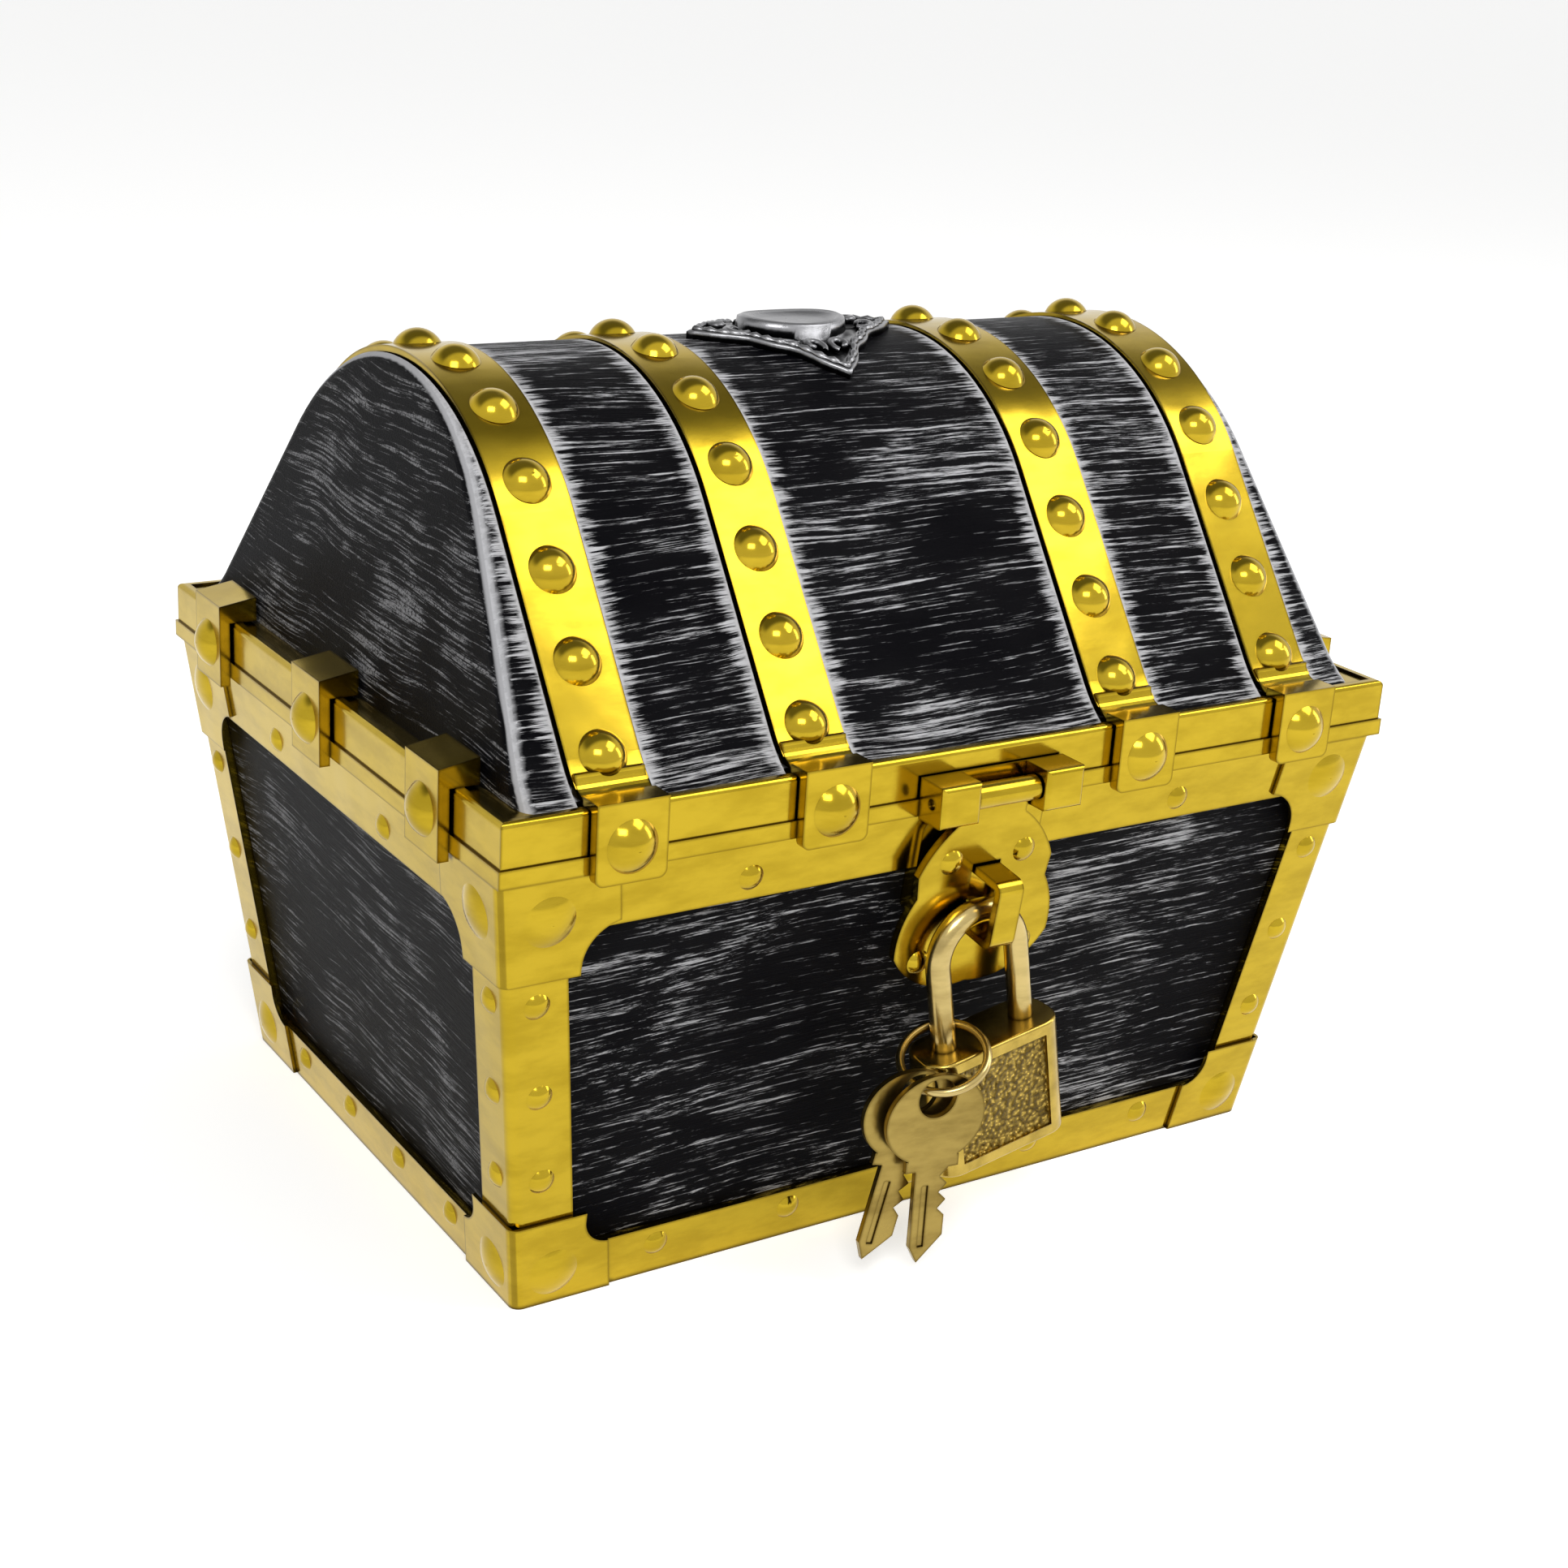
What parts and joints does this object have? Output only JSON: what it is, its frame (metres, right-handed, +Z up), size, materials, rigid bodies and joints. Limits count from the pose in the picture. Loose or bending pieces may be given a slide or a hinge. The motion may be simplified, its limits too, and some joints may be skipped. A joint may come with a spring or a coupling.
{
  "type": "treasure chest box",
  "caption": "Small treasure chest box with a domed hinged lid, riveted metal trim, a hasp, a hanging padlock and two keys.",
  "frame": {"origin": "centre of the body's underside, on the surface it stands on", "axes": "+X along the length, to the right seen from the front; +Y to the back, where the hinges are; +Z up"},
  "size_m": [0.158, 0.1306, 0.1266],
  "materials": {
    "black_grain": "black moulded plastic with a wood grain and worn silver edges",
    "dark_silver": "dark silver casting, darker in its hollows",
    "gold_trim": "moulded plastic with bright gold plating, smooth and reflective",
    "aged_brass": "aged brass with a hammered panel",
    "key_brass": "dull brass",
    "steel": "polished steel"
  },
  "bodies": {
    "base": {"corner_post_back_left": "gold_trim", "corner_post_back_right": "gold_trim", "corner_post_front_left": "gold_trim", "corner_post_front_right": "gold_trim", "foot_band": "gold_trim", "hinge_body_leaf_left": "gold_trim", "hinge_body_leaf_right": "gold_trim", "hinge_pin_left": "steel", "hinge_pin_right": "steel", "lock_plate": "gold_trim", "lower_bracket_back_left": "gold_trim", "lower_bracket_back_right": "gold_trim", "lower_bracket_front_left": "gold_trim", "lower_bracket_front_right": "gold_trim", "rim_band": "gold_trim", "tub": "black_grain", "upper_bracket_back_left": "gold_trim", "upper_bracket_back_right": "gold_trim", "upper_bracket_front_left": "gold_trim", "upper_bracket_front_right": "gold_trim"},
    "lid": {"end_clip_left_back": "gold_trim", "end_clip_left_front": "gold_trim", "end_clip_left_middle": "gold_trim", "end_clip_right_back": "gold_trim", "end_clip_right_front": "gold_trim", "end_clip_right_middle": "gold_trim", "hasp_bracket": "gold_trim", "hasp_pin": "steel", "hinge_lid_leaf_left": "gold_trim", "hinge_lid_leaf_right": "gold_trim", "lid_frame": "gold_trim", "lid_ornament": "dark_silver", "lid_shell": "black_grain", "strap_clip_inner_left_back": "gold_trim", "strap_clip_inner_left_front": "gold_trim", "strap_clip_inner_right_back": "gold_trim", "strap_clip_inner_right_front": "gold_trim", "strap_clip_outer_left_back": "gold_trim", "strap_clip_outer_left_front": "gold_trim", "strap_clip_outer_right_back": "gold_trim", "strap_clip_outer_right_front": "gold_trim", "strap_inner_left": "gold_trim", "strap_inner_right": "gold_trim", "strap_outer_left": "gold_trim", "strap_outer_right": "gold_trim"},
    "hasp": {"hasp_plate": "gold_trim", "staple": "gold_trim"},
    "shackle": {"padlock_shackle": "steel"},
    "padlock": {"padlock_case": "aged_brass", "padlock_plug": "key_brass"},
    "ring": {"key_ring": "steel"},
    "front_key": {"key_front": "key_brass"},
    "rear_key": {"key_rear": "key_brass"}
  },
  "joints": [
    {"name": "lid_hinge", "type": "hinge", "parent": "base", "child": "lid", "pos_m": [0, 0.05995, 0.0683], "axis": [-1, 0, 0], "range_deg": [0, 100]},
    {"name": "hasp_hinge", "type": "hinge", "parent": "lid", "child": "hasp", "pos_m": [0, -0.06045, 0.071], "axis": [-1, 0, 0], "range_deg": [0, 120]},
    {"name": "padlock_swing", "type": "hinge", "parent": "hasp", "child": "shackle", "pos_m": [-0.0012, -0.0595, 0.0532], "axis": [-1, 0, 0], "range_deg": [0, 60]},
    {"name": "case_release", "type": "slide", "parent": "shackle", "child": "padlock", "axis": [0.1822, 0, -0.9833], "range_m": [0, 0.003]},
    {"name": "ring_swing", "type": "hinge", "parent": "shackle", "child": "ring", "pos_m": [-0.00789, -0.0595, 0.04516], "axis": [-0.1822, 0, 0.9833], "range_deg": [0, 20]},
    {"name": "front_key_swing", "type": "hinge", "parent": "ring", "child": "front_key", "pos_m": [-0.01129, -0.06612, 0.03], "axis": [-0.1219, -0.9925, 0], "range_deg": [-15, 15]},
    {"name": "rear_key_swing", "type": "hinge", "parent": "ring", "child": "rear_key", "pos_m": [-0.01275, -0.06387, 0.03], "axis": [-0.1219, -0.9925, 0], "range_deg": [-15, 15]}
  ]
}
